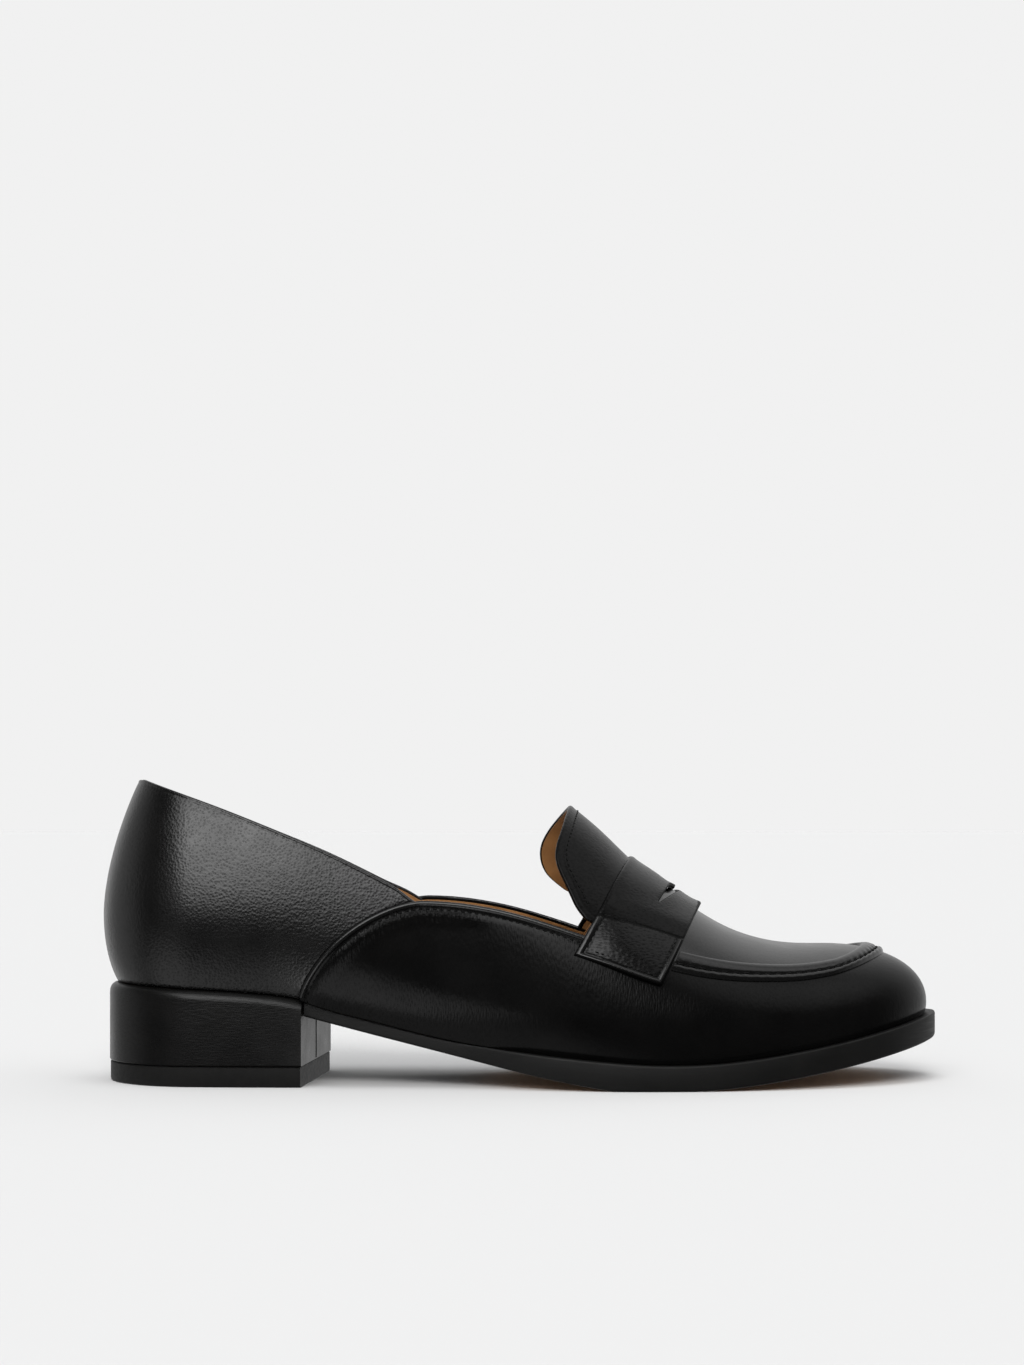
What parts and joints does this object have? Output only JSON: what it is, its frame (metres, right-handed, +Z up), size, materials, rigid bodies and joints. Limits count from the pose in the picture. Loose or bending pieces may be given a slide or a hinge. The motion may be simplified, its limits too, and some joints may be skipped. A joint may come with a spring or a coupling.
{
  "type": "low block-heel loafer",
  "caption": "Right shoe: slip-on leather loafer with a low block heel, raised apron seam, slotted saddle strap and standing tongue.",
  "frame": {"origin": "middle of the shoe's footprint box, on the floor that heel and forefoot stand on", "axes": "+X from heel to toe, +Y towards the inner side of the foot, +Z up"},
  "size_m": [0.2562, 0.0902, 0.0924],
  "materials": {
    "black_leather": "smooth nappa, soft semi-gloss",
    "black_sole": "dressed black edge, satin",
    "black_rubber": "matt",
    "tan_lining": "unglazed lining leather"
  },
  "bodies": {
    "root": {"upper": "black_leather", "tongue": "black_leather", "saddle_strap": "black_leather", "apron_seam": "black_leather", "vamp_edge_lateral": "black_leather", "vamp_edge_medial": "black_leather", "heel": "black_leather", "outsole": "black_sole", "heel_top_lift": "black_rubber", "insole": "tan_lining"}
  },
  "joints": []
}
